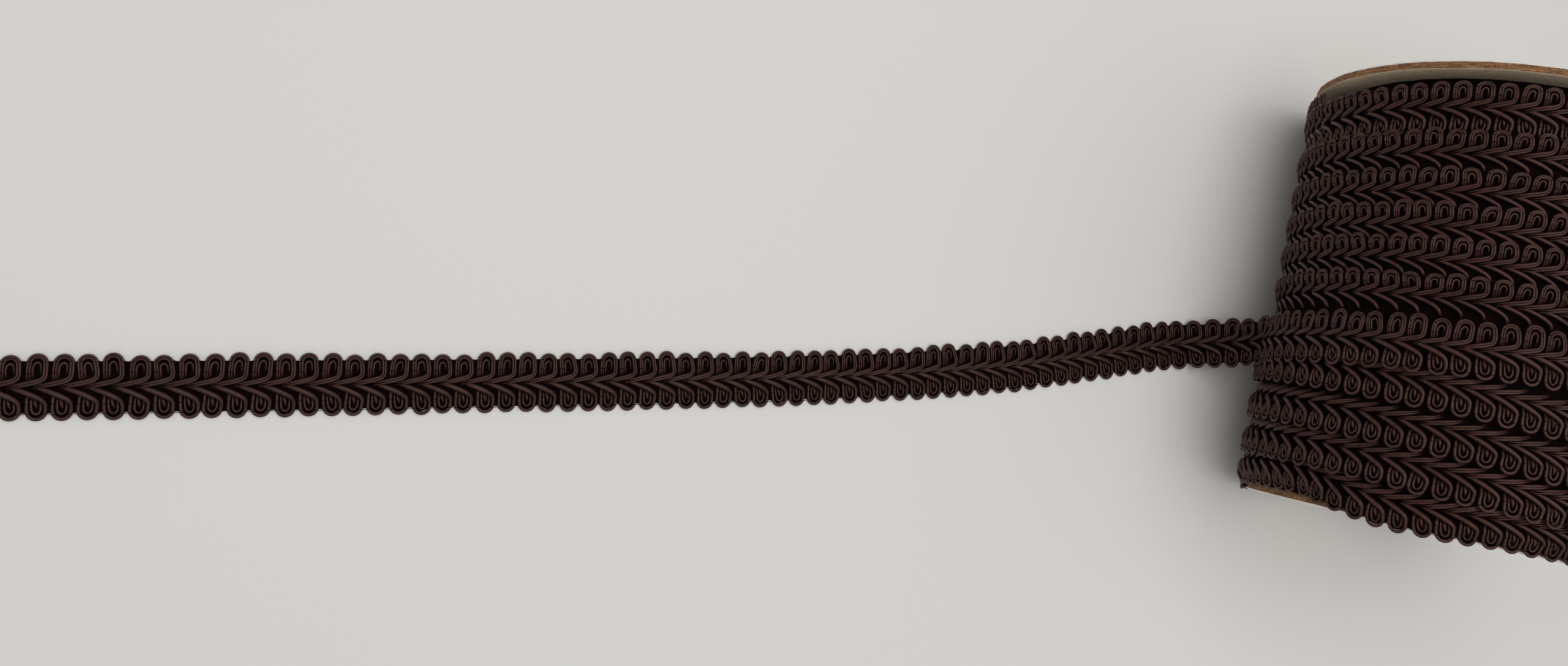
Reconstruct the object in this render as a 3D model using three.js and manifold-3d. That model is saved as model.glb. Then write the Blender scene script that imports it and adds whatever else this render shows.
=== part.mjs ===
// Galloon trim: a narrow scroll braid wound on a flanged chipboard reel, with its loose end on the table.
// Millimetres, +Z up. The reel lies on its side, its axis along Y, and the origin is on the table below it.
// A turn is counted from 0 at +X and grows over +Z, which is also the way the braid was wound on.
import * as THREE from "three";
import { mergeVertices } from "three/addons/utils/BufferGeometryUtils.js";
import Module from "manifold-3d";

// The braid
const BRAID_WIDTH = 12;
const BRAID_THICKNESS = 1.8;
const LOOP_PITCH = 4;
const SCALLOP_DEPTH = 1.1;

// The reel
const FLANGE_RADIUS = 37;
const FLANGE_THICKNESS = 1.8;
const FLANGE_BEVEL = 0.25;
const FLANGE_SPACING = 91.6;
const AXIS_HEIGHT = 37.6;
const GAP = 0.3;

// The winding: the lower layer runs from the far flange (+Y) to the near one, the upper layer comes back
// to the middle. Each turn laps over the one before it, so it has a high edge (crest) and a low one.
const LOWER_CREST = 38.5;
const LOWER_LOW = 37.2;
const UPPER_CREST = 39.8;
const UPPER_LOW = 38.4;
const LAST_CREST = 39.9;
const LAST_LOW = 39.2;
const BODY_RADIUS = 35.6;
const LAYER_BORDER = -17;
const OVERHANG_END = -47;
const LOWER_END = 43.6;

// Centre line of each turn, along Y
const LOWER_TURNS = [
  { turn: -1.6, centre: 39.8 },
  { turn: -0.6, centre: 39.4 },
  { turn: 0.4, centre: 37.6 },
  { turn: 1.4, centre: 28.1 },
  { turn: 2.4, centre: 20.2 },
  { turn: 3.4, centre: 13.0 },
  { turn: 4.4, centre: 6.2 },
  { turn: 5.4, centre: -1.2 },
  { turn: 9.4, centre: -31.6 },
];
const UPPER_TURNS = [
  { turn: -1.6, centre: -47.6 },
  { turn: -0.6, centre: -41.4 },
  { turn: 0.4, centre: -41.0 },
  { turn: 1.4, centre: -33.5 },
  { turn: 2.4, centre: -26.1 },
  { turn: 3.4, centre: -17.7 },
  { turn: 5.4, centre: -3.7 },
];
const LAST_TURN = [
  { turn: -0.39, centre: -15.9 },
  { turn: 0.0, centre: -12.6 },
  { turn: 0.2, centre: -9.8 },
  { turn: 0.31, centre: -9.5 },
  { turn: 0.39, centre: -10.7 },
  { turn: 0.56, centre: -12.2 },
];

// Each row of a turn: how far it is on to the next turn, and how high it stands from low (0) to crest (1)
const TURN_ROWS = [
  { across: 0, height: 1 },
  { across: 0.45, height: 0.85 },
  { across: 0.9, height: 0 },
];
const COLUMNS = 48;

// The loose end: its centre line seen from above, measured along the run from where it starts to rise,
// and how far it stands to the side along Y
const RISE_RADIUS = 12;
const LOOSE_RADIUS = 40.6;
const LOOSE_TOP_TURN = 0.57;
const LOOSE_ROUTE = [
  { along: -252, side: -78.4 },
  { along: -230, side: -73.8 },
  { along: -161, side: -59.2 },
  { along: -90, side: -43.8 },
  { along: -44, side: -32.2 },
  { along: -21, side: -24.8 },
  { along: 0, side: -17.7 },
  { along: 14, side: -14.2 },
  { along: 26, side: -12.6 },
  { along: 60, side: -11.6 },
];
const LOOP_ROWS = [
  { across: 0, depth: 1 },
  { across: 0.3, depth: 0 },
  { across: 0.7, depth: 0 },
];
const ROUTE_STEP = 0.25;

const BRAID_BROWN = 0x2a1d19;
const CHIPBOARD = 0xa08a6c;

const wasm = await Module();
wasm.setup();

// A smooth value at x from a table's two columns
function fromTable(rows, from, to, x) {
  let i = 0;
  while (i < rows.length - 2 && x > rows[i + 1][from]) i += 1;
  const slope = (k) => {
    const a = rows[Math.max(k - 1, 0)];
    const b = rows[Math.min(k + 1, rows.length - 1)];
    return (b[to] - a[to]) / (b[from] - a[from]);
  };
  const span = rows[i + 1][from] - rows[i][from];
  const t = (x - rows[i][from]) / span;
  const start = rows[i][to];
  const rise = rows[i + 1][to] - start;
  const entry = slope(i) * span;
  const exit = slope(i + 1) * span;
  return start + entry * t + (3 * rise - 2 * entry - exit) * t * t + (entry + exit - 2 * rise) * t * t * t;
}

function toSolid(geometry) {
  const plain = new THREE.BufferGeometry().setAttribute("position", geometry.getAttribute("position"));
  if (geometry.index) plain.setIndex(geometry.index);
  const merged = mergeVertices(plain, 1e-4);
  const triVerts = new Uint32Array(merged.index.array);
  return new wasm.Manifold(
    new wasm.Mesh({ numProp: 3, vertProperties: merged.attributes.position.array, triVerts }),
  );
}

function toGeometry(solid) {
  const mesh = solid.getMesh();
  return new THREE.BufferGeometry()
    .setAttribute("position", new THREE.BufferAttribute(mesh.vertProperties, 3))
    .setIndex(new THREE.BufferAttribute(mesh.triVerts, 1));
}

// A closed geometry from a list of triangles, each three points
function fromTriangles(triangles, inwards) {
  return new THREE.BufferGeometry().setFromPoints(
    triangles.flatMap(([a, b, c]) => (inwards ? [a, c, b] : [a, b, c])),
  );
}

const onReel = (turn, radius, y) =>
  new THREE.Vector3(
    radius * Math.cos(2 * Math.PI * turn),
    y,
    AXIS_HEIGHT + radius * Math.sin(2 * Math.PI * turn),
  );

// A screw-shaped body of lapped turns. crestSide is +1 where the crest is on the turn's +Y edge.
function lappedLayer(turns, low, crest, crestSide) {
  const first = turns[0].turn;
  const count = Math.floor(turns.at(-1).turn - first - 1);
  const rows = [];
  for (let k = 0; k <= count; k += 1) {
    for (const { across, height } of TURN_ROWS) rows.push({ turn: first + k + across, height });
  }
  rows.length -= TURN_ROWS.length - 1;
  const point = (row, column) => {
    const turn = rows[row].turn + column / COLUMNS;
    const y = fromTable(turns, "turn", "centre", turn) + (crestSide * BRAID_WIDTH) / 2;
    return onReel(first + column / COLUMNS, low + (crest - low) * rows[row].height, y);
  };
  const rim = [[], []];
  const triangles = [];
  const last = rows.length - 1;
  for (let column = 0; column < COLUMNS; column += 1) {
    for (let row = 0; row < last; row += 1) {
      const a = point(row, column);
      const b = point(row, column + 1);
      const c = point(row + 1, column + 1);
      const d = point(row + 1, column);
      triangles.push([a, b, c], [a, c, d]);
    }
    rim[0].push([point(0, column + 1), point(0, column)]);
    rim[1].push([point(last, column), point(last, column + 1)]);
  }
  for (let row = 0; row < TURN_ROWS.length; row += 1) {
    rim[0].push([point(row, 0), point(row + 1, 0)]);
    const back = last - row;
    rim[1].push([point(back, COLUMNS), point(back - 1, COLUMNS)]);
  }
  rim.forEach((edges, end) => {
    const y = point(end ? last : 0, 0).y;
    const hub = new THREE.Vector3(0, y, AXIS_HEIGHT);
    for (const [a, b] of edges) triangles.push([hub, a, b]);
  });
  return toSolid(fromTriangles(triangles, crestSide < 0));
}

// The last turn, a band that lies over the border of the two layers
function lastTurn() {
  const start = LAST_TURN[0].turn;
  const span = LAST_TURN.at(-1).turn - start;
  const half = BRAID_WIDTH / 2;
  const section = [
    { across: -half, radius: LAST_CREST },
    { across: half, radius: LAST_LOW },
    { across: half, radius: BODY_RADIUS },
    { across: -half, radius: BODY_RADIUS },
  ];
  const ring = (column) => {
    const turn = start + (span * column) / COLUMNS;
    const centre = fromTable(LAST_TURN, "turn", "centre", turn);
    return section.map(({ across, radius }) => onReel(turn, radius, centre + across));
  };
  return toSolid(sweep(Array.from({ length: COLUMNS + 1 }, (_, i) => ring(i)), false));
}

// A closed body through rings of points, with its two ends capped
function sweep(rings, inwards) {
  const size = rings[0].length;
  const triangles = [];
  for (let i = 0; i + 1 < rings.length; i += 1) {
    for (let k = 0; k < size; k += 1) {
      const next = (k + 1) % size;
      const [a, b] = [rings[i][k], rings[i][next]];
      const [c, d] = [rings[i + 1][next], rings[i + 1][k]];
      triangles.push([a, b, c], [a, c, d]);
    }
  }
  const [front, back] = [rings[0], rings.at(-1)];
  for (let k = 1; k + 1 < size; k += 1) {
    triangles.push([front[0], front[k + 1], front[k]], [back[0], back[k], back[k + 1]]);
  }
  return fromTriangles(triangles, inwards);
}

// A cylinder around the reel's axis, between two places along it
function aroundAxis(radius, yLow, yHigh) {
  const cylinder = new THREE.CylinderGeometry(radius, radius, yHigh - yLow, COLUMNS);
  return toSolid(cylinder.translate(0, (yLow + yHigh) / 2, AXIS_HEIGHT));
}

function woundBraid() {
  const end = FLANGE_SPACING / 2 - GAP;
  const outside = 2 * FLANGE_RADIUS;
  const lower = lappedLayer(LOWER_TURNS, LOWER_LOW, LOWER_CREST, 1);
  const upper = lappedLayer(UPPER_TURNS, UPPER_LOW, UPPER_CREST, -1);
  const rimClearance = aroundAxis(FLANGE_RADIUS + GAP, OVERHANG_END - 1, -end);
  const wound = aroundAxis(BODY_RADIUS, -end, end)
    .add(lower.intersect(aroundAxis(outside, LAYER_BORDER, LOWER_END)))
    .add(upper.intersect(aroundAxis(outside, OVERHANG_END, LAYER_BORDER)).subtract(rimClearance))
    .add(lastTurn());
  const aboveTable = new THREE.BoxGeometry(4 * FLANGE_RADIUS, 2 * FLANGE_SPACING, 4 * FLANGE_RADIUS);
  return toGeometry(wound.intersect(toSolid(aboveTable.translate(0, 0, 2 * FLANGE_RADIUS))));
}

function flange() {
  const [r, t, b] = [FLANGE_RADIUS, FLANGE_THICKNESS / 2, FLANGE_BEVEL];
  const profile = [
    [0, -t],
    [r - b, -t],
    [r, b - t],
    [r, t - b],
    [r - b, t],
    [0, t],
  ];
  return new THREE.LatheGeometry(profile.map(([x, y]) => new THREE.Vector2(x, y)), COLUMNS);
}

// The loose end's run seen from the side: flat, up a quarter bend and more, then against the roll
function sideView() {
  const bedHeight = BRAID_THICKNESS / 2;
  const reach = LOOSE_RADIUS + RISE_RADIUS;
  const meet = Math.PI + Math.asin((AXIS_HEIGHT - bedHeight - RISE_RADIUS) / reach);
  const riseStart = reach * Math.cos(meet);
  const riseAngle = meet - Math.PI / 2;
  const riseLength = riseAngle * RISE_RADIUS;
  const length = riseLength + (meet - 2 * Math.PI * LOOSE_TOP_TURN) * LOOSE_RADIUS;
  // Place and outward direction in X and Z at a distance along the run
  const at = (along) => {
    if (along <= 0) return { x: riseStart + along, z: bedHeight, outX: 0, outZ: 1 };
    if (along <= riseLength) {
      const a = along / RISE_RADIUS;
      const [outX, outZ] = [-Math.sin(a), Math.cos(a)];
      return { x: riseStart - RISE_RADIUS * outX, z: bedHeight + RISE_RADIUS * (1 - outZ), outX, outZ };
    }
    const a = meet - (along - riseLength) / LOOSE_RADIUS;
    const [outX, outZ] = [Math.cos(a), Math.sin(a)];
    return { x: LOOSE_RADIUS * outX, z: AXIS_HEIGHT + LOOSE_RADIUS * outZ, outX, outZ };
  };
  return { at, length };
}

// The loose end's centre line on its developed surface: distance along the side view, place along Y, and length
function looseCentre(length) {
  const points = [];
  let run = 0;
  for (let along = LOOSE_ROUTE[0].along; along <= length; along += ROUTE_STEP) {
    const point = new THREE.Vector2(along, fromTable(LOOSE_ROUTE, "along", "side", along));
    if (points.length) run += point.distanceTo(points.at(-1).point);
    points.push({ point, run });
  }
  return points;
}

function looseTail() {
  const { at, length } = sideView();
  const centre = looseCentre(length);
  const loops = Math.floor(centre.at(-1).run / LOOP_PITCH);
  const lift = BRAID_THICKNESS / 2;
  const rings = [];
  let i = 0;
  for (let k = 0; k <= loops; k += 1) {
    for (const { across, depth } of k < loops ? LOOP_ROWS : LOOP_ROWS.slice(0, 1)) {
      while (i < centre.length - 2 && centre[i + 1].run < (k + across) * LOOP_PITCH) i += 1;
      const { point } = centre[i];
      const ahead = centre[i + 1].point.clone().sub(point).normalize();
      const half = BRAID_WIDTH / 2 - depth * SCALLOP_DEPTH;
      const corner = (sideways, up) => {
        const { x, z, outX, outZ } = at(point.x - sideways * half * ahead.y);
        const y = point.y + sideways * half * ahead.x;
        return new THREE.Vector3(x + up * lift * outX, y, z + up * lift * outZ);
      };
      rings.push([corner(1, -1), corner(-1, -1), corner(-1, 1), corner(1, 1)]);
    }
  }
  return sweep(rings, true);
}

function piece(name, geometry, color, roughness) {
  geometry.computeVertexNormals();
  const mesh = new THREE.Mesh(geometry, new THREE.MeshStandardMaterial({ color, roughness, metalness: 0 }));
  mesh.name = name;
  return mesh;
}

const trim = new THREE.Group();
trim.add(piece("wound_braid", woundBraid(), BRAID_BROWN, 0.75));
trim.add(piece("loose_tail", looseTail(), BRAID_BROWN, 0.75));
for (const [name, side] of [["flange_far", 1], ["flange_near", -1]]) {
  const disc = piece(name, flange(), CHIPBOARD, 0.9);
  disc.position.set(0, (side * (FLANGE_SPACING + FLANGE_THICKNESS)) / 2, AXIS_HEIGHT);
  trim.add(disc);
}

export default trim;
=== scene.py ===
import math
from collections import namedtuple

import bpy
import numpy as np
from mathutils import Matrix, Vector


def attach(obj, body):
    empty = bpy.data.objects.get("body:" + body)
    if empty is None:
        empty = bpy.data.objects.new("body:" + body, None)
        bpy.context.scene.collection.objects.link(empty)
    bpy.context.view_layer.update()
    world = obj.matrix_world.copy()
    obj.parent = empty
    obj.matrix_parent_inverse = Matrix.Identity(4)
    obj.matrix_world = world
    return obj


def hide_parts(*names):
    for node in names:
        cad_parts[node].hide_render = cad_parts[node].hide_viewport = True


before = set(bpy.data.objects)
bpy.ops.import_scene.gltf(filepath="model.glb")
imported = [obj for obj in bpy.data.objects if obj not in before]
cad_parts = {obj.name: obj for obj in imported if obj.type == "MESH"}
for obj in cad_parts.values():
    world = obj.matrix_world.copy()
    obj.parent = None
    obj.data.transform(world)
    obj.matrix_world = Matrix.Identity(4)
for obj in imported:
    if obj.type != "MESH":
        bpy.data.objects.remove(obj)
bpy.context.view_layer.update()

# Lengths are in millimetres here and become metres where a mesh is made.
# A point of the braid has three numbers: s along it from the free end towards the roll, v across it
# (positive towards +Y), and n outwards from its back to its face.
MM = 0.001

# Camera, in the model's frame
PHOTO_WIDTH = 2560
PHOTO_HEIGHT = 1087
FOCAL_PIXELS = 1988.159
CENTRE_ROW = 407.177
SENSOR_MM = 36
CAMERA_PLACE = (-226.327, -41.062, 242.71)
CAMERA_RIGHT = (0.9196, 0.2142, 0.3294)
CAMERA_FORWARD = (0.3171, 0.0902, -0.9441)
CLIP_START = 0.01

# Light and floor
KEY_PLACE = (-150, 60, 700)
KEY_SIZE = 640
KEY_WATTS = 2.8
FILL_STRENGTH = 0.5
FLOOR_SIZE = 4000
FLOOR_COLOUR = (0.70, 0.685, 0.66)
FLOOR_ROUGHNESS = 0.9

# The braid, how finely its route is sampled, and the least length to divide by
PITCH = 4.0
TURN_PHASE = 2.0
SAMPLE_TURN = 0.002
SAMPLE_MM = 0.25
CURVE_PARTS = 8
TINY = 1e-9

# The reel, the room beside the winding, and the radius at which each layer's run is measured
FLANGE_RADIUS = 37
FLANGE_THICKNESS = 1.8
FLANGE_SPACING = 91.6
AXIS_HEIGHT = 37.6
GAP = 0.3
LOWER_RADIUS = 38.2
UPPER_RADIUS = 39.2

# How much lower the braid's base lies along its middle, and how far across
CENTRE_SINK = 0.35
SINK_FADE = (1.4, 2.8)

# The room kept above the table, the further room for a turn's cords, and the least share downwards
TABLE_CLEARANCE = 0.3
TURN_ROOM = 0.75
LEAST_DOWN = 1e-3

# Each layer's course: the turn, counted from the +X side over the top, and the place along the axis
LOWER_TURNS = (
    (-1.6, 39.8), (-0.6, 39.4), (0.4, 37.6), (1.4, 28.1), (2.4, 20.2),
    (3.4, 13.0), (4.4, 6.2), (5.4, -1.2), (9.4, -31.6),
)
UPPER_TURNS = (
    (-1.6, -40.8), (-0.6, -40.8), (0.1, -41.0), (0.28, -40.95), (0.34, -41.2), (0.38, -41.85), (0.42, -41.7),
    (0.45, -40.8), (0.485, -39.2), (0.52, -39.0), (0.58, -39.5), (0.66, -40.0), (1.1, -36.5), (1.4, -34.0),
    (2.4, -26.2), (3.4, -17.7), (3.61, -15.9), (4.0, -12.6), (4.2, -9.8), (4.31, -9.5), (4.39, -10.7),
    (4.57, -12.5), (4.7, -13.2),
)

# The turns where the layers are cut into pieces, where lower near loops show, and a route's spare ends
UPPER_BORDERS = (3.61, 2.6, 1.6, 0.6, -0.38)
LOWER_BORDERS = (6.2, 5.6, 4.6, 3.6, 2.6, 1.6, 0.9, -0.45)
NEAR_LOOPS_SHOW = 0.5
SPAN_MARGIN = 0.03

# The last turn, and how far the first turn sinks over the near disc's rim
LAST_SPAN = (3.61, 4.57)
LAST_BLEND = (3.45, 3.8)
FLANGE_DIP = 1.4
DIP_ACROSS = (1, 5)
DIP_FADE = (0.55, 1.2)

# Outer radius of a turn from its -Y edge to its +Y edge
LOWER_PROFILE = ((-6, 37.2), (-0.75, 37.2), (2.6, 38.3), (6, 38.5))
UPPER_PROFILE = ((-6, 39.8), (-2.6, 39.6), (0.75, 38.4), (6, 38.4))
LAST_PROFILE = ((-6, 39.9), (6, 39.2))

# The loose end: its bend, its place on the roll, its height on the table, and its course (along, across)
RISE_RADIUS = 12
LOOSE_RADIUS = 40.6
LOOSE_TOP_TURN = 0.57
LOOSE_EASE = (6, 27)
BED_HEIGHT = 0.9
LOOSE_ROUTE = (
    (-252, -78.4), (-230, -73.8), (-161, -59.2), (-90, -43.8), (-44, -32.2),
    (-21, -24.8), (0, -17.7), (14, -14.2), (26, -12.6), (60, -11.6),
)

# How far the route runs on, where the cords and the painted-shade strip start, and how far that strip runs
# past them
ROUTE_OVERLAP = 8
LOOSE_START = 2
SHADE_STRIP_START = 1
SHADE_STRIP_PAST = 2

# A strand: its points around a loop's middle, its number of steps and sides, and its shift sideways
Strand = namedtuple("Strand", "points steps sides shift")

# The cords of one loop, as points (s, v, n, radius)
NEAR_CORD = (
    (-4.9, 0.1, -1.0, 0.06), (-4.3, 0.0, -0.6, 0.13), (-3.6, -0.15, -0.14, 0.31), (-2.6, -0.42, 0.16, 0.45),
    (-1.5, -0.8, 0.28, 0.49), (-0.5, -1.25, 0.32, 0.49), (0.4, -1.72, 0.28, 0.47), (1.1, -2.2, 0.12, 0.42),
    (1.44, -2.8, -0.12, 0.37), (1.46, -3.4, -0.28, 0.345), (1.42, -4.08, -0.36, 0.335),
    (1.23, -4.79, -0.4, 0.335), (0.71, -5.31, -0.43, 0.335), (0.0, -5.5, -0.44, 0.335),
    (-0.71, -5.31, -0.43, 0.335), (-1.23, -4.79, -0.4, 0.335), (-1.42, -4.08, -0.37, 0.335),
    (-1.44, -3.4, -0.36, 0.33), (-1.42, -2.7, -0.38, 0.33), (-1.4, -2.0, -0.45, 0.32),
    (-1.32, -1.4, -0.65, 0.3), (-1.1, -0.9, -0.9, 0.2),
)
NEAR_INNER = (
    (-0.66, -1.6, -0.75, 0.16), (-0.73, -2.5, -0.42, 0.24), (-0.72, -3.3, -0.36, 0.25),
    (-0.68, -3.95, -0.4, 0.25), (-0.4, -4.45, -0.44, 0.25), (0.0, -4.62, -0.46, 0.25),
    (0.4, -4.45, -0.45, 0.25), (0.68, -3.95, -0.44, 0.25),
    (0.72, -3.3, -0.44, 0.24), (0.68, -2.7, -0.5, 0.23), (0.6, -2.1, -0.8, 0.14),
)
NEAR_PIECE = (
    (-0.25, -1.8, -0.7, 0.18), (-0.15, -2.4, -0.34, 0.3), (0.0, -3.0, -0.32, 0.31), (0.1, -3.7, -0.66, 0.18),
)
NEAR_DIAGONAL = (
    (-4.9, 0.1, -1.0, 0.06), (-4.3, 0.0, -0.6, 0.13), (-3.6, -0.12, -0.14, 0.3), (-2.6, -0.36, 0.14, 0.4),
    (-1.5, -0.72, 0.26, 0.43), (-0.5, -1.15, 0.3, 0.43), (0.4, -1.62, 0.26, 0.42), (1.1, -2.12, 0.1, 0.39),
    (1.5, -2.75, -0.2, 0.34), (1.6, -3.3, -0.6, 0.28),
)
FAR_CORD = (
    (-5.2, -0.1, -1.0, 0.1), (-4.4, 0.08, -0.55, 0.16), (-3.6, 0.24, -0.12, 0.2), (-2.5, 0.46, 0.14, 0.26),
    (-1.4, 0.7, 0.26, 0.29), (-0.3, 0.97, 0.3, 0.29), (0.6, 1.25, 0.28, 0.27), (1.12, 1.62, 0.18, 0.24),
    (1.34, 2.2, 0.04, 0.24), (1.34, 2.95, -0.08, 0.245), (1.3, 3.7, -0.16, 0.24), (1.26, 4.2, -0.2, 0.24),
    (1.08, 4.78, -0.26, 0.24), (0.62, 5.22, -0.3, 0.24), (0.0, 5.38, -0.32, 0.24), (-0.62, 5.22, -0.3, 0.24),
    (-1.08, 4.78, -0.27, 0.24), (-1.26, 4.2, -0.25, 0.24), (-1.3, 3.6, -0.26, 0.24), (-1.32, 2.9, -0.3, 0.24),
    (-1.32, 2.1, -0.42, 0.24), (-1.26, 1.5, -0.62, 0.23), (-1.05, 1.0, -0.88, 0.14),
)
FAR_INNER = (
    (-0.56, 1.4, -0.75, 0.16), (-0.62, 2.2, -0.38, 0.24), (-0.62, 3.2, -0.24, 0.25), (-0.5, 3.9, -0.24, 0.25),
    (0.0, 4.28, -0.3, 0.25), (0.46, 3.92, -0.36, 0.23), (0.54, 3.3, -0.46, 0.21), (0.54, 2.6, -0.62, 0.17),
    (0.5, 2.0, -0.85, 0.12),
)
FAR_DIAGONAL = (
    (-4.6, 0.05, -1.0, 0.1), (-3.9, 0.18, -0.5, 0.16), (-3.1, 0.36, -0.08, 0.22), (-2.0, 0.62, 0.18, 0.28),
    (-0.8, 0.92, 0.28, 0.31), (0.4, 1.22, 0.28, 0.31), (1.4, 1.52, 0.14, 0.27), (2.2, 1.86, -0.14, 0.21),
    (2.9, 2.3, -0.6, 0.14), (3.4, 2.7, -1.1, 0.1),
)

# Half the distance between the cords of a pair, and the extra length that a bend of one radian counts as
PAIR_OFFSET = 0.215
BEND_WEIGHT = 1.2

# Strands of the roll, of the loose end, and of a side that the next turn covers
NEAR_STRANDS = (
    Strand(NEAR_CORD, 34, 6, 0),
    Strand(NEAR_INNER, 13, 5, 0),
    Strand(NEAR_PIECE, 5, 5, 0),
)
FAR_STRANDS = (
    Strand(FAR_CORD, 32, 5, -PAIR_OFFSET),
    Strand(FAR_CORD, 32, 5, PAIR_OFFSET),
    Strand(FAR_INNER, 12, 4, 0),
)
NEAR_FINE = (
    Strand(NEAR_CORD, 50, 8, 0),
    Strand(NEAR_INNER, 18, 6, 0),
    Strand(NEAR_PIECE, 7, 6, 0),
)
FAR_FINE = (
    Strand(FAR_CORD, 44, 6, -PAIR_OFFSET),
    Strand(FAR_CORD, 44, 6, PAIR_OFFSET),
    Strand(FAR_INNER, 18, 5, 0),
)
NEAR_COVERED = (Strand(NEAR_DIAGONAL, 14, 6, 0),)
FAR_COVERED = (
    Strand(FAR_DIAGONAL, 13, 5, -PAIR_OFFSET),
    Strand(FAR_DIAGONAL, 13, 5, PAIR_OFFSET),
)

# A loop's base, and the share kept of its reach beyond that: in the layers' far loops, and in all others
LOOP_BASE = 1.6
ROLL_REACH = 0.8
FULL_REACH = 1.0

# Binding threads: how far across, their radius and sides, how they wander, and (place, height) in a pitch
THREAD_ROWS = (-4.6, -2.85, 2.6, 4.5)
THREAD_RADIUS = 0.07
THREAD_SIDES = 3
THREAD_SPREAD = 0.12
THREAD_WINDOW = 5
THREAD_PLACES = ((-2.0, -0.35), (-1.35, 0.04), (-0.6, -0.26), (0.6, -0.26), (1.35, 0.04))

# The painted-shade strip under the loops: its edge and how far that waves, its bottom, top and crown, and its
# sections
SHADE_STRIP_EDGE = 4.85
SHADE_STRIP_WAVE = 0.4
SHADE_STRIP_HEIGHTS = (-0.86, -0.64)
SHADE_STRIP_CROWN = 0.12
SHADE_STRIP_STEP = 0.5

# Where the painted-shade strip beside the near disc ends towards the far side
EDGE_SHADE_STRIP_FAR = -1.0

# How uneven the loops are: lean and reach on either side, the outer part this tells on, height and place
FAR_UNEVEN = (0.16, 0.3)
NEAR_UNEVEN = (0.1, 0.12)
OUTER_FADE = (2.2, 4.5)
HEIGHT_SPREAD = 0.02
PLACE_SPREAD = 0.06

# The covered turns: the radius below each layer, the border between the two, and the room for cords
UNDER_LOWER = 36.2
UNDER_UPPER = 37.3
UNDER_BORDER = (-13, -7)
UNDER_ROOM = 1.0

# Their ridges, the mesh's rows and segments, and the groove beside the far disc
UNDER_RIDGE = 0.12
UNDER_RIDGES = 30
UNDER_SLANT = 1.6
UNDER_ROWS = 122
UNDER_SEGMENTS = 120
GROOVE_RADIUS = 31
GROOVE_EDGE = (42.3, 43.4)

# A disc's section as (radius, depth from its inner face), its segments, and how far the near one is set in
FLANGE_PROFILE = (
    (4, 0.0), (14, 0.0), (24, 0.0), (31, 0.0), (35.5, 0.0), (36.6, 0.01), (36.9, 0.06), (36.96, 0.2),
    (36.9, 0.5), (36.94, 0.85), (36.88, 1.2), (36.96, 1.42), (36.86, 1.72), (36.6, 1.79), (35.5, 1.8),
    (31, 1.8), (24, 1.8), (14, 1.8), (4, 1.8),
)
FLANGE_SEGMENTS = 360
NEAR_SET_IN = 1.2

# The rim: where it starts, its waves and roughness, how far it may stand out, and which faces belong to it
RIM_START = 36.7
RIM_FADE = (31, 36.8)
RIM_WAVES = (2, 3, 5, 9, 14, 23, 41)
RIM_PHASES = 6.3
RIM_WAVE_HEIGHT = 0.05
RIM_WAVE_SHARE = 0.5
RIM_ROUGHNESS = 0.05
RIM_ALLOWANCE = 0.1
RIM_FACING = 0.8
RIM_DEPTH = 1.45

# No point of a mesh lies lower than this above the table
LOWEST = 0.04

# Each cord starts at its own place in the material, so that its tone differs from its neighbours'
CORD_OFFSET = 40.0
CORD_OFFSETS = 24
THREAD_OFFSET = 960.0

# The start of the random draws
SEED = 11

# The cord: its colours, what lightens its tone, its sheen, and its bump as (strength, distance in metres)
BRAID_DARK = (0.0080, 0.0021, 0.0016)
BRAID_LIGHT = (0.044, 0.0168, 0.0134)
# The loose end's cord: the same cord with its light end darker, as painted shade
LOOSE_PAINTED_SHADE_LIGHT = (0.033, 0.0126, 0.0102)
BRAID_GLOSS = (1.0, 0.72, 0.62, 1)
# How much lighter the cord's crown is painted than its flanks: painted highlight and painted shade
CROWN_PAINTED_LIGHT = 0.34
CORD_LIFT = 0.2
RIDGE_LIFT = 0.02
RIDGES = 8.0
CORD_PATCH_SCALE = 700
CORD_PATCH_DETAIL = 3
CORD_GRAIN_SCALE = 5000
CORD_GRAIN_DETAIL = 2
CORD_GRAIN_SHARE = 0.6
CORD_TONES = (0.45, 1.0)
CORD_ROUGHNESS = (0.22, 0.34)
CORD_SPECULAR = 0.4
CORD_BUMP = (0.12, 0.00002)

# Near-black painted shade for the strip under the loops and the covered turns, and the binding threads
SHADE_AND_THREAD_DARK = (0.0020, 0.0004, 0.0004)
SHADE_AND_THREAD_LIGHT = (0.0070, 0.0022, 0.0018)
SHADE_AND_THREAD_PATCH_SCALE = 1500
SHADE_AND_THREAD_PATCH_DETAIL = 4
SHADE_AND_THREAD_TONES = (0.3, 0.8)
SHADE_AND_THREAD_ROUGHNESS = (0.2, 0.75)
SHADE_AND_THREAD_SPECULAR = 0.05
SHADE_AND_THREAD_BUMP = (0.8, 0.0002)

# Paper, the discs' tan inner faces, and chipboard
PAPER_DARK = (0.66, 0.62, 0.56)
PAPER_LIGHT = (0.80, 0.76, 0.70)
INNER_FACE_DARK = (0.66, 0.50, 0.33)
INNER_FACE_LIGHT = (0.82, 0.66, 0.46)
CHIPBOARD_DARK = (0.105, 0.047, 0.020)
CHIPBOARD_LIGHT = (0.28, 0.14, 0.05)
PAPER_SCALE = 900
PAPER_BUMP = 0.2
CHIPBOARD_SCALE = 420
CHIPBOARD_STRETCH = 8
CHIPBOARD_BUMP = 1.0
FIBRE_DETAIL = 6
FIBRE_SHARE = 0.6
GRAIN_SHARE = 0.4
GRAIN_SCALE = 4
GRAIN_DETAIL = 3
FIBRE_TONES = (0.41, 0.59)
FIBRE_ROUGHNESS = (0.15, 0.8)
FIBRE_BUMP_DISTANCE = 0.0003


def smooth(x, low, high):
    """0 up to low and 1 from high on, with an eased step between."""
    t = np.clip((x - low) / (high - low), 0, 1)
    return t * t * (3 - 2 * t)


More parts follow.
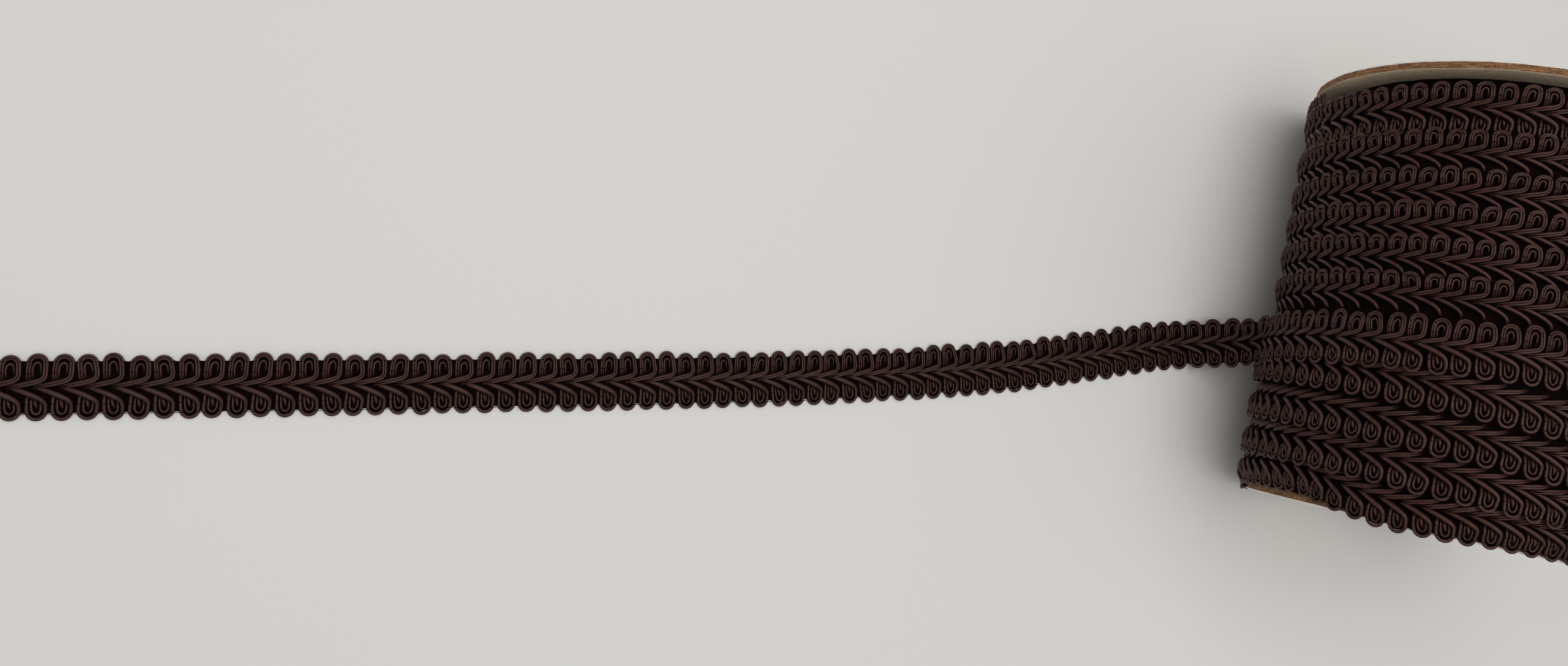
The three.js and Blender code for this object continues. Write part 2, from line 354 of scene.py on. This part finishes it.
def table_curve(rows):
    """A smooth curve through a table's two columns."""
    x, y = np.array(rows, float).T
    slope = np.empty_like(y)
    slope[1:-1] = (y[2:] - y[:-2]) / (x[2:] - x[:-2])
    slope[0] = (y[1] - y[0]) / (x[1] - x[0])
    slope[-1] = (y[-1] - y[-2]) / (x[-1] - x[-2])

    def at(q):
        i = np.clip(np.searchsorted(x, q, side="right") - 1, 0, len(x) - 2)
        span = x[i + 1] - x[i]
        t = (q - x[i]) / span
        rise = y[i + 1] - y[i]
        entry = slope[i] * span
        leave = slope[i + 1] * span
        square = 3 * rise - 2 * entry - leave
        cube = entry + leave - 2 * rise
        return y[i] + entry * t + square * t**2 + cube * t**3

    return at


def line_curve(rows):
    """Straight lines between a table's two columns."""
    x, y = np.array(rows, float).T
    return lambda q: np.interp(q, x, y)


def unit(vectors):
    return vectors / np.maximum(np.linalg.norm(vectors, axis=-1, keepdims=True), TINY)


lower_outer = line_curve(LOWER_PROFILE)
upper_outer = line_curve(UPPER_PROFILE)
last_outer = line_curve(LAST_PROFILE)


def lower_base(turn, v):
    """The lower layer's radius under the cords, at v across the braid."""
    return lower_outer(v) - CENTRE_SINK * (1 - smooth(np.abs(v), *SINK_FADE))


def upper_base(turn, v):
    """The upper layer's and the last turn's radius under the cords."""
    share = smooth(turn, *LAST_BLEND)
    outer = (1 - share) * upper_outer(v) + share * last_outer(v)
    outer = outer - FLANGE_DIP * smooth(-v, *DIP_ACROSS) * (1 - smooth(turn, *DIP_FADE))
    return outer - CENTRE_SINK * (1 - smooth(np.abs(v), *SINK_FADE))


def above_table(radius, angle, clear):
    """radius, held in where the winding would go through the table."""
    down = np.maximum(-np.sin(angle), LEAST_DOWN)
    most = (AXIS_HEIGHT - TABLE_CLEARANCE - clear) / down
    return np.minimum(radius, most)


class RollRoute:
    """The braid wound on the reel: s grows as the turn goes down from newest to oldest."""

    def __init__(self, rows, radius, base, newest, oldest):
        self.radius = radius
        self.base = base
        turn = np.arange(newest, oldest, -SAMPLE_TURN)
        across = table_curve(rows)(turn)
        around = 2 * math.pi * radius * turn
        step = np.hypot(np.diff(around), np.diff(across))
        self.run = np.concatenate([[0], np.cumsum(step)])
        self.turn = turn
        self.across = across
        self.slope = np.gradient(across, self.run)

    def place(self, s, v, n):
        turn = np.interp(s, self.run, self.turn)
        slope = np.interp(s, self.run, self.slope)
        angle = 2 * math.pi * turn + v * slope / self.radius
        y = np.interp(s, self.run, self.across) + v * np.sqrt(1 - slope**2)
        radius = above_table(self.base(turn, v), angle, TURN_ROOM) + n
        out = np.stack([np.cos(angle), np.zeros_like(angle), np.sin(angle)], -1)
        point = radius[..., None] * out
        point[..., 1] = y
        point[..., 2] += AXIS_HEIGHT
        return point, out

    def run_at(self, turn):
        return float(np.interp(-turn, -self.turn, self.run))


class LooseRoute:
    """The loose end: along the table, up a bend and on to the roll. Its run starts at the free end."""

    def __init__(self):
        reach = LOOSE_RADIUS + RISE_RADIUS
        self.meet = math.pi + math.asin((AXIS_HEIGHT - BED_HEIGHT - RISE_RADIUS) / reach)
        self.rise_start = reach * math.cos(self.meet)
        self.rise_length = (self.meet - math.pi / 2) * RISE_RADIUS
        self.length = self.rise_length + (self.meet - 2 * math.pi * LOOSE_TOP_TURN) * LOOSE_RADIUS
        along = np.arange(LOOSE_ROUTE[0][0], self.length + ROUTE_OVERLAP, SAMPLE_MM)
        across = table_curve(LOOSE_ROUTE)(along)
        step = np.hypot(np.diff(along), np.diff(across))
        self.run = np.concatenate([[0], np.cumsum(step)])
        self.along = along
        self.across = across
        self.ahead = np.gradient(along, self.run)
        self.aside = np.gradient(across, self.run)
        self.total = float(np.interp(self.length, along, self.run))

    def place(self, s, v, n):
        ahead = np.interp(s, self.run, self.ahead)
        aside = np.interp(s, self.run, self.aside)
        along = np.interp(s, self.run, self.along) - v * aside
        y = np.interp(s, self.run, self.across) + v * ahead
        bend = np.clip(along, 0, self.rise_length) / RISE_RADIUS
        angle = self.meet - np.maximum(along - self.rise_length, 0) / LOOSE_RADIUS
        on_roll = along > self.rise_length
        out_x = np.where(on_roll, np.cos(angle), -np.sin(bend))
        out_z = np.where(on_roll, np.sin(angle), np.cos(bend))
        bend_x = self.rise_start + np.minimum(along, 0) + RISE_RADIUS * np.sin(bend)
        bend_z = BED_HEIGHT + RISE_RADIUS * (1 - np.cos(bend))
        x = np.where(on_roll, LOOSE_RADIUS * out_x, bend_x)
        z = np.where(on_roll, AXIS_HEIGHT + LOOSE_RADIUS * out_z, bend_z)
        drop = smooth(along, *LOOSE_EASE) * (upper_base(LAST_SPAN[1], v) - LOOSE_RADIUS)
        lift = n + drop
        out = np.stack([out_x, np.zeros_like(out_x), out_z], -1)
        point = np.stack([x + lift * out_x, y, z + lift * out_z], -1)
        return point, out


def resample(points, steps):
    """A smooth line through the points, cut into steps that are shorter where it bends."""
    p = np.array(points, float)
    p = np.concatenate([[2 * p[0] - p[1]], p, [2 * p[-1] - p[-2]]])
    t = np.linspace(0, 1, CURVE_PARTS + 1)[:-1, None]
    rows = []
    for a, b, c, d in zip(p, p[1:], p[2:], p[3:]):
        square = 2 * a - 5 * b + 4 * c - d
        cube = 3 * b - a - 3 * c + d
        rows.append(b + 0.5 * ((c - a) * t + square * t**2 + cube * t**3))
    line = np.concatenate(rows + [p[-2:-1]])
    run = np.concatenate([[0], np.cumsum(np.linalg.norm(np.diff(line[:, :3], axis=0), axis=1))])
    ahead = unit(np.diff(line[:, :3], axis=0))
    bend = np.arccos(np.clip((ahead[1:] * ahead[:-1]).sum(1), -1, 1))
    effort = run + BEND_WEIGHT * np.concatenate([[0, 0], np.cumsum(bend)])
    where = np.interp(np.linspace(0, effort[-1], steps), effort, run)
    return np.stack([np.interp(where, run, column) for column in line.T], -1), where


def tubes(centres, normals, radius, sides, along, offset):
    """Closed tubes along rows of points: vertices, and faces by size with a (round, along) pair a corner."""
    count, rings = centres.shape[:2]
    tangent = unit(np.gradient(centres, axis=1))
    side = unit(np.cross(tangent, normals))
    up = np.cross(side, tangent)
    phi = 2 * math.pi * np.arange(sides) / sides
    spread = np.cos(phi)[:, None] * side[:, :, None] + np.sin(phi)[:, None] * up[:, :, None]
    vertices = (centres[:, :, None] + radius[:, None, None] * spread).reshape(-1, 3)
    tube = np.arange(count)[:, None, None]
    ring = np.arange(rings - 1)[None, :, None]
    j = np.arange(sides)[None, None, :]
    first = (tube * rings + ring) * sides
    after = (j + 1) % sides
    quads = np.stack([first + j, first + sides + j, first + sides + after, first + after], -1)
    low = along[:-1][None, :, None] + offset[:, None, None] + 0 * j
    high = along[1:][None, :, None] + offset[:, None, None] + 0 * j
    near = j / sides + 0 * low
    far = (j + 1) / sides + 0 * low
    pairs = np.stack([near, low, near, high, far, high, far, low], -1).reshape(-1, 2)
    start = tube[:, 0] * rings * sides + np.arange(sides)[None]
    finish = start[:, ::-1] + (rings - 1) * sides
    caps = np.concatenate([start, finish])
    ends = np.repeat(np.concatenate([offset + along[0], offset + along[-1]]), sides)
    cap_pairs = np.stack([0 * ends, ends], -1)
    return vertices, [(quads.reshape(-1, 4), pairs), (caps, cap_pairs)]


def make_mesh(name, parts, second_slot=math.inf):
    """One mesh object from several parts. Parts from second_slot on take the second material."""
    vertices, corners, sizes, pairs, slots = [], [], [], [], []
    at = 0
    for part, (points, groups) in enumerate(parts):
        vertices.append(points)
        for faces, face_pairs in groups:
            corners.append((faces + at).ravel())
            sizes.append(np.full(len(faces), faces.shape[1]))
            pairs.append(face_pairs)
            slots.append(np.full(len(faces), 1 if part >= second_slot else 0))
        at += len(points)
    vertices = np.concatenate(vertices)
    vertices[:, 2] = np.maximum(vertices[:, 2], LOWEST)
    vertices *= MM
    corners = np.concatenate(corners)
    sizes = np.concatenate(sizes)
    mesh = bpy.data.meshes.new(name)
    mesh.vertices.add(len(vertices))
    mesh.vertices.foreach_set("co", vertices.astype(np.float32).ravel())
    mesh.loops.add(len(corners))
    mesh.loops.foreach_set("vertex_index", corners.astype(np.int32))
    mesh.polygons.add(len(sizes))
    starts = np.concatenate([[0], np.cumsum(sizes)[:-1]])
    mesh.polygons.foreach_set("loop_start", starts.astype(np.int32))
    mesh.polygons.foreach_set("use_smooth", np.ones(len(sizes), bool))
    mesh.polygons.foreach_set("material_index", np.concatenate(slots).astype(np.int32))
    layer = mesh.uv_layers.new(name="cord")
    layer.uv.foreach_set("vector", np.concatenate(pairs).astype(np.float32).ravel())
    mesh.update(calc_edges=True)
    mesh.validate()
    piece = bpy.data.objects.new(name, mesh)
    bpy.context.scene.collection.objects.link(piece)
    return piece


def loop_middles(start, end):
    """The runs of the loops' middles between two places."""
    first = math.ceil((start - TURN_PHASE) / PITCH)
    last = math.floor((end - TURN_PHASE) / PITCH)
    return TURN_PHASE + PITCH * np.arange(first, last + 1)


def shortened(v, reach):
    """v with its part beyond the loops' base scaled by reach."""
    size = np.abs(v)
    return np.sign(v) * (np.minimum(size, LOOP_BASE) + reach * np.maximum(size - LOOP_BASE, 0))


def loops_of(strand, route, middles, uneven, scale, rng):
    """The tubes of one strand, once for each loop."""
    line, along = resample(strand.points, strand.steps)
    ahead = unit(np.gradient(line[:, :2], axis=0))
    s = line[:, 0] - strand.shift * ahead[:, 1]
    v = shortened(line[:, 1] + strand.shift * ahead[:, 0], scale)
    outer = smooth(np.abs(v), *OUTER_FADE)
    count = len(middles)
    lean, reach = uneven.T
    s = middles[:, None] + s[None] + lean[:, None] * outer[None]
    v = v[None] + np.sign(v)[None] * reach[:, None] * outer[None]
    n = line[None, :, 2] + rng.normal(0, HEIGHT_SPREAD, (count, 1))
    centres, normals = route.place(s, v, n)
    offset = CORD_OFFSET * rng.integers(0, CORD_OFFSETS, count)
    return tubes(centres, normals, line[:, 3], strand.sides, along, offset)


def threads_of(route, rows, start, end, far_reach, rng):
    """The fine binding threads between two places of the run."""
    parts = []
    places = np.array(THREAD_PLACES)
    middles = loop_middles(start, end)
    s = (middles[:, None] + places[None, :, 0]).ravel()
    n = np.tile(places[:, 1], len(middles))
    offset = np.array([THREAD_OFFSET])
    for row in rows:
        drift = rng.normal(0, THREAD_SPREAD, len(s) + THREAD_WINDOW - 1)
        wander = np.convolve(drift, np.ones(THREAD_WINDOW) / THREAD_WINDOW, "valid")
        middle = shortened(row, far_reach if row > 0 else FULL_REACH)
        centres, normals = route.place(s, middle + wander, n)
        radius = np.full(len(s), THREAD_RADIUS)
        parts.append(tubes(centres[None], normals[None], radius, THREAD_SIDES, s - s[0], offset))
    return parts


def braid(name, route, start, end, near, far, far_reach, material, rng):
    """A length of braid between two places of the run, as one mesh."""
    middles = loop_middles(start, end)
    count = len(middles)
    middles = middles + rng.normal(0, PLACE_SPREAD, count)
    parts = []
    halves = (near, NEAR_UNEVEN, FULL_REACH), (far, FAR_UNEVEN, far_reach)
    for strands, (lean, reach), scale in halves:
        uneven = np.stack([rng.normal(0, lean, count), rng.uniform(-reach, reach, count)], -1)
        for strand in strands:
            parts.append(loops_of(strand, route, middles, uneven, scale, rng))
    covered = (near == NEAR_COVERED, far == FAR_COVERED)
    rows = [row for row in THREAD_ROWS if not covered[int(row > 0)]]
    threads = threads_of(route, rows, start, end, far_reach, rng)
    piece = make_mesh(name, parts + threads, len(parts))
    piece.data.materials.append(material)
    # The binding threads take the near-black material that also serves as painted shade
    piece.data.materials.append(shade_and_thread_material)
    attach(piece, "root")
    return piece


def shade_strip(name, route, start, end, near, far):
    """A flat dark strip of painted shade under the loops between two edges, which wave with the loops."""
    s = np.arange(start, end, SHADE_STRIP_STEP)
    low, high = SHADE_STRIP_HEIGHTS
    wave = SHADE_STRIP_WAVE * np.cos(2 * math.pi * (s - TURN_PHASE) / PITCH)
    near = near - wave
    far = far + wave
    rows = []
    crown = ((near + far) / 2, high + SHADE_STRIP_CROWN)
    for v, n in ((near, low), (far, low), (far, high), crown, (near, high)):
        point, _ = route.place(s, v, np.full_like(s, n))
        rows.append(point)
    rings = np.stack(rows, 1)
    sides = rings.shape[1]
    first = np.arange(len(s) - 1)[:, None] * sides
    j = np.arange(sides)[None]
    after = (j + 1) % sides
    quads = np.stack([first + j, first + after, first + sides + after, first + sides + j], -1)
    quads = quads.reshape(-1, 4)
    caps = np.stack([np.arange(sides)[::-1], np.arange(sides) + (len(s) - 1) * sides])
    groups = [(quads, np.zeros((quads.size, 2))), (caps, np.zeros((caps.size, 2)))]
    piece = make_mesh(name, [(rings.reshape(-1, 3), groups)])
    # Near-black painted shade
    piece.data.materials.append(shade_and_thread_material)
    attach(piece, "root")
    return piece


def revolved(rows, segments):
    """A closed body from rows of (radius by angle, y), with a middle point at each end."""
    angle = 2 * math.pi * np.arange(segments) / segments
    points = []
    for radius, y in rows:
        r = radius(angle)
        points.append(np.stack([r * np.cos(angle), y + 0 * r, AXIS_HEIGHT + r * np.sin(angle)], -1))
    count = len(points)
    points = np.concatenate(points + [[[0, rows[0][1], AXIS_HEIGHT], [0, rows[-1][1], AXIS_HEIGHT]]])
    first = np.arange(count - 1)[:, None] * segments
    j = np.arange(segments)[None]
    after = (j + 1) % segments
    quads = np.stack([first + j, first + segments + j, first + segments + after, first + after], -1)
    fans = []
    for hub, ring, order in ((count * segments, 0, 1), (count * segments + 1, count - 1, -1)):
        a = ring * segments + j[0]
        b = ring * segments + after[0]
        fans.append(np.stack([np.full(segments, hub), a, b][::order], -1))
    groups = [(quads.reshape(-1, 4), np.zeros((quads.size, 2)))]
    groups += [(fan, np.zeros((fan.size, 2))) for fan in fans]
    return points, groups


def under_layer():
    """The covered turns, coloured near-black as painted shade, seen only between the cords."""
    end = FLANGE_SPACING / 2 - GAP
    near_end = end - NEAR_SET_IN

    def radius_at(y):
        share = smooth(y, *UNDER_BORDER)
        groove = smooth(y, *GROOVE_EDGE)
        plain = (1 - share) * UNDER_UPPER + share * UNDER_LOWER
        plain = (1 - groove) * plain + groove * GROOVE_RADIUS

        def at(angle):
            ridge = UNDER_RIDGE * np.sin(UNDER_RIDGES * angle + UNDER_SLANT * y)
            return above_table(plain + ridge, angle, UNDER_ROOM)

        return at

    rows = [(radius_at(y), y) for y in np.linspace(-near_end, end, UNDER_ROWS)]
    piece = make_mesh("under_layer", [revolved(rows, UNDER_SEGMENTS)])
    # Near-black painted shade over the covered turns
    piece.data.materials.append(shade_and_thread_material)
    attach(piece, "root")
    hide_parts("wound_braid")
    return piece


def flange(name, side, inner, rng):
    """A chipboard disc with a fibrous rim, white paper outside and tan inner faces."""
    angles = 2 * math.pi * np.arange(FLANGE_SEGMENTS) / FLANGE_SEGMENTS
    rim = np.zeros(FLANGE_SEGMENTS)
    for k in RIM_WAVES:
        height = rng.normal(0, RIM_WAVE_HEIGHT)
        rim += height * np.cos(k * angles + rng.uniform(0, RIM_PHASES))
    rows = []
    for radius, depth in FLANGE_PROFILE:
        share = RIM_WAVE_SHARE * float(smooth(np.array(radius), *RIM_FADE))
        ring = radius + share * rim
        if radius > RIM_START:
            ring = ring + rng.normal(0, RIM_ROUGHNESS, FLANGE_SEGMENTS)
        ring = np.minimum(ring, FLANGE_RADIUS + RIM_ALLOWANCE)
        rows.append((lambda angle, ring=ring: ring, side * (inner + depth)))
    if side < 0:
        rows = rows[::-1]
    piece = make_mesh(name, [revolved(rows, FLANGE_SEGMENTS)])
    mesh = piece.data
    for material in (paper_material, chipboard_material, inner_face_material):
        mesh.materials.append(material)
    count = len(mesh.polygons)
    normal = np.empty(3 * count, np.float32)
    mesh.polygons.foreach_get("normal", normal)
    centre = np.empty(3 * count, np.float32)
    mesh.polygons.foreach_get("center", centre)
    on_rim = np.abs(normal[1::3]) < RIM_FACING
    depth = np.abs(centre[1::3]) / MM - inner
    kind = np.select([on_rim & (depth < RIM_DEPTH), depth < FLANGE_THICKNESS / 2], [1, 2], 0)
    mesh.polygons.foreach_set("material_index", kind.astype(np.int32))
    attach(piece, "root")
    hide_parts(name.replace("disc", "flange"))
    return piece


def new_material(name):
    """A material with its nodes, links and shader."""
    material = bpy.data.materials.new(name)
    material.use_nodes = True
    nodes = material.node_tree.nodes
    return material, nodes, material.node_tree.links, nodes["Principled BSDF"]


def math_node(nodes, links, operation, *values):
    """The result of a maths node whose inputs are numbers or other nodes' results."""
    node = nodes.new("ShaderNodeMath")
    node.operation = operation
    for socket, value in zip(node.inputs, values):
        if isinstance(value, (int, float)):
            socket.default_value = value
        else:
            links.new(value, socket)
    return node.outputs["Value"]


def noise(nodes, links, vector, scale, detail):
    node = nodes.new("ShaderNodeTexNoise")
    node.inputs["Scale"].default_value = scale
    node.inputs["Detail"].default_value = detail
    links.new(vector, node.inputs["Vector"])
    return node.outputs["Fac"]


def colour_ramp(nodes, links, value, places, colours):
    node = nodes.new("ShaderNodeValToRGB")
    for stop, place, colour in zip(node.color_ramp.elements, places, colours):
        stop.position = place
        stop.color = (*colour, 1)
    links.new(value, node.inputs["Fac"])
    return node.outputs["Color"]


def add_bump(nodes, links, shader, height, strength, distance):
    bump = nodes.new("ShaderNodeBump")
    bump.inputs["Strength"].default_value = strength
    bump.inputs["Distance"].default_value = distance
    links.new(height, bump.inputs["Height"])
    links.new(bump.outputs["Normal"], shader.inputs["Normal"])


def make_braid_material(name, light):
    """Satin gimp cord with fine slanted ridges, with a painted highlight along its crown and painted shade on
    its flanks.
    """
    material, nodes, links, shader = new_material(name)
    uv = nodes.new("ShaderNodeUVMap")
    uv.uv_map = "cord"
    split = nodes.new("ShaderNodeSeparateXYZ")
    links.new(uv.outputs["UV"], split.inputs["Vector"])
    place = nodes.new("ShaderNodeTexCoord").outputs["Object"]
    twist = math_node(nodes, links, "MULTIPLY_ADD", split.outputs["Y"], RIDGES, split.outputs["X"])
    wave = math_node(nodes, links, "SINE", math_node(nodes, links, "MULTIPLY", twist, 2 * math.pi))
    round_it = math_node(nodes, links, "MULTIPLY", split.outputs["X"], 2 * math.pi)
    crown = math_node(nodes, links, "SINE", round_it)
    along = math_node(nodes, links, "DIVIDE", split.outputs["Y"], CORD_OFFSET)
    cord = math_node(nodes, links, "FLOOR", along)
    white = nodes.new("ShaderNodeTexWhiteNoise")
    white.noise_dimensions = "1D"
    links.new(cord, white.inputs["W"])
    patch = noise(nodes, links, place, CORD_PATCH_SCALE, CORD_PATCH_DETAIL)
    mixed = math_node(nodes, links, "MULTIPLY_ADD", white.outputs["Value"], CORD_LIFT, patch)
    # Painted highlight along each cord's crown and painted shade on its flanks
    painted_light_tone = math_node(nodes, links, "MULTIPLY_ADD", crown, CROWN_PAINTED_LIGHT, mixed)
    tone = math_node(nodes, links, "MULTIPLY_ADD", wave, RIDGE_LIFT, painted_light_tone)
    colour = colour_ramp(nodes, links, tone, CORD_TONES, (BRAID_DARK, light))
    links.new(colour, shader.inputs["Base Color"])
    rough = math_node(nodes, links, "MULTIPLY_ADD", patch, *CORD_ROUGHNESS)
    links.new(rough, shader.inputs["Roughness"])
    grain = noise(nodes, links, place, CORD_GRAIN_SCALE, CORD_GRAIN_DETAIL)
    height = math_node(nodes, links, "MULTIPLY_ADD", grain, CORD_GRAIN_SHARE, wave)
    add_bump(nodes, links, shader, height, *CORD_BUMP)
    shader.inputs["Specular IOR Level"].default_value = CORD_SPECULAR
    shader.inputs["Specular Tint"].default_value = BRAID_GLOSS
    return material


def make_shade_and_thread_material():
    """Near-black painted shade for the strip under the loops and the covered turns, and the dull binding
    threads.
    """
    material, nodes, links, shader = new_material("braid_painted_shade_and_threads")
    place = nodes.new("ShaderNodeTexCoord").outputs["Object"]
    patch = noise(nodes, links, place, SHADE_AND_THREAD_PATCH_SCALE, SHADE_AND_THREAD_PATCH_DETAIL)
    colour = colour_ramp(nodes, links, patch, SHADE_AND_THREAD_TONES, (SHADE_AND_THREAD_DARK, SHADE_AND_THREAD_LIGHT))
    links.new(colour, shader.inputs["Base Color"])
    rough = math_node(nodes, links, "MULTIPLY_ADD", patch, *SHADE_AND_THREAD_ROUGHNESS)
    links.new(rough, shader.inputs["Roughness"])
    add_bump(nodes, links, shader, patch, *SHADE_AND_THREAD_BUMP)
    shader.inputs["Specular IOR Level"].default_value = SHADE_AND_THREAD_SPECULAR
    return material


def make_fibre_material(name, dark, light, scale, stretch, strength):
    """Paper or chipboard: fibres seen as stretched noise, with a fine grain in the bump."""
    material, nodes, links, shader = new_material(name)
    place = nodes.new("ShaderNodeTexCoord").outputs["Object"]
    longer = nodes.new("ShaderNodeMapping")
    longer.inputs["Scale"].default_value = (1, stretch, 1)
    links.new(place, longer.inputs["Vector"])
    fibre = noise(nodes, links, longer.outputs["Vector"], scale, FIBRE_DETAIL)
    grain = noise(nodes, links, place, scale * GRAIN_SCALE, GRAIN_DETAIL)
    fibre_part = math_node(nodes, links, "MULTIPLY", fibre, FIBRE_SHARE)
    tone = math_node(nodes, links, "MULTIPLY_ADD", grain, GRAIN_SHARE, fibre_part)
    colour = colour_ramp(nodes, links, tone, FIBRE_TONES, (dark, light))
    links.new(colour, shader.inputs["Base Color"])
    rough = math_node(nodes, links, "MULTIPLY_ADD", grain, *FIBRE_ROUGHNESS)
    links.new(rough, shader.inputs["Roughness"])
    add_bump(nodes, links, shader, tone, strength, FIBRE_BUMP_DISTANCE)
    return material


def add_camera():
    data = bpy.data.cameras.new("camera")
    data.sensor_width = SENSOR_MM
    data.lens = FOCAL_PIXELS / PHOTO_WIDTH * SENSOR_MM
    data.shift_y = (CENTRE_ROW - PHOTO_HEIGHT / 2) / PHOTO_WIDTH
    data.clip_start = CLIP_START
    camera = bpy.data.objects.new("camera", data)
    back = -Vector(CAMERA_FORWARD).normalized()
    up = back.cross(Vector(CAMERA_RIGHT)).normalized()
    right = up.cross(back)
    turned = Matrix((right, up, back)).transposed().to_4x4()
    camera.matrix_world = Matrix.Translation(Vector(CAMERA_PLACE) * MM) @ turned
    bpy.context.scene.collection.objects.link(camera)
    bpy.context.scene.camera = camera


def add_light_and_floor():
    bpy.context.scene.view_settings.view_transform = "Standard"
    light = bpy.data.lights.new("key", "AREA")
    light.size = KEY_SIZE * MM
    light.energy = KEY_WATTS
    lamp = bpy.data.objects.new("key", light)
    lamp.location = Vector(KEY_PLACE) * MM
    lamp.rotation_euler = lamp.location.to_track_quat("Z", "Y").to_euler()
    bpy.context.scene.collection.objects.link(lamp)
    world = bpy.data.worlds.new("studio")
    world.use_nodes = True
    background = world.node_tree.nodes["Background"]
    background.inputs["Color"].default_value = (1, 1, 1, 1)
    background.inputs["Strength"].default_value = FILL_STRENGTH
    bpy.context.scene.world = world
    half = FLOOR_SIZE / 2 * MM
    mesh = bpy.data.meshes.new("floor")
    corners = [(-half, -half, 0), (half, -half, 0), (half, half, 0), (-half, half, 0)]
    mesh.from_pydata(corners, [], [(0, 1, 2, 3)])
    floor = bpy.data.objects.new("floor", mesh)
    bpy.context.scene.collection.objects.link(floor)
    material, _, _, shader = new_material("floor")
    shader.inputs["Base Color"].default_value = (*FLOOR_COLOUR, 1)
    shader.inputs["Roughness"].default_value = FLOOR_ROUGHNESS
    mesh.materials.append(material)


add_camera()
add_light_and_floor()
braid_material = make_braid_material("braid_cord", BRAID_LIGHT)
# The same cord for the loose end, painted darker as shade
loose_painted_shade_material = make_braid_material("braid_cord_loose_painted_shade", LOOSE_PAINTED_SHADE_LIGHT)
shade_and_thread_material = make_shade_and_thread_material()
paper_material = make_fibre_material("paper", PAPER_DARK, PAPER_LIGHT, PAPER_SCALE, 1, PAPER_BUMP)
inner_face_material = make_fibre_material("inner_face", INNER_FACE_DARK, INNER_FACE_LIGHT, PAPER_SCALE, 1, PAPER_BUMP)
rim_look = CHIPBOARD_SCALE, CHIPBOARD_STRETCH, CHIPBOARD_BUMP
chipboard_material = make_fibre_material("chipboard", CHIPBOARD_DARK, CHIPBOARD_LIGHT, *rim_look)

rng = np.random.default_rng(SEED)

loose = LooseRoute()
span = LOOSE_START, loose.total
loose_end = braid("loose_end", loose, *span, NEAR_FINE, FAR_FINE, FULL_REACH, loose_painted_shade_material, rng)
span = SHADE_STRIP_START, loose.total + SHADE_STRIP_PAST
loose_shade_strip = shade_strip("loose_shade_strip", loose, *span, -SHADE_STRIP_EDGE, SHADE_STRIP_EDGE)
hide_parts("loose_tail")

ends = LAST_SPAN[1] + SPAN_MARGIN, UPPER_BORDERS[-1] - SPAN_MARGIN
upper = RollRoute(UPPER_TURNS, UPPER_RADIUS, upper_base, *ends)
upper.run += loose.total - upper.run_at(LAST_SPAN[1])
span = loose.total, upper.run_at(LAST_SPAN[0])
braid("last_turn", upper, *span, NEAR_STRANDS, FAR_STRANDS, FULL_REACH, braid_material, rng)
for k, (newer, older) in enumerate(zip(UPPER_BORDERS, UPPER_BORDERS[1:])):
    span = upper.run_at(newer), upper.run_at(older)
    name = f"upper_turn_{len(UPPER_BORDERS) - 1 - k}"
    braid(name, upper, *span, NEAR_STRANDS, FAR_COVERED, ROLL_REACH, braid_material, rng)
span = upper.run_at(UPPER_BORDERS[-2]), upper.run_at(UPPER_BORDERS[-1])
shade_strip("edge_shade_strip", upper, *span, -SHADE_STRIP_EDGE, EDGE_SHADE_STRIP_FAR)

ends = LOWER_BORDERS[0] + SPAN_MARGIN, LOWER_BORDERS[-1] - SPAN_MARGIN
lower = RollRoute(LOWER_TURNS, LOWER_RADIUS, lower_base, *ends)
for k, (newer, older) in enumerate(zip(LOWER_BORDERS, LOWER_BORDERS[1:])):
    span = lower.run_at(newer), lower.run_at(older)
    near = NEAR_STRANDS if older < NEAR_LOOPS_SHOW else NEAR_COVERED
    name = f"lower_turn_{len(LOWER_BORDERS) - 1 - k}"
    braid(name, lower, *span, near, FAR_STRANDS, ROLL_REACH, braid_material, rng)

under_layer()
flange("disc_far", 1, FLANGE_SPACING / 2, rng)
flange("disc_near", -1, FLANGE_SPACING / 2 - NEAR_SET_IN, rng)
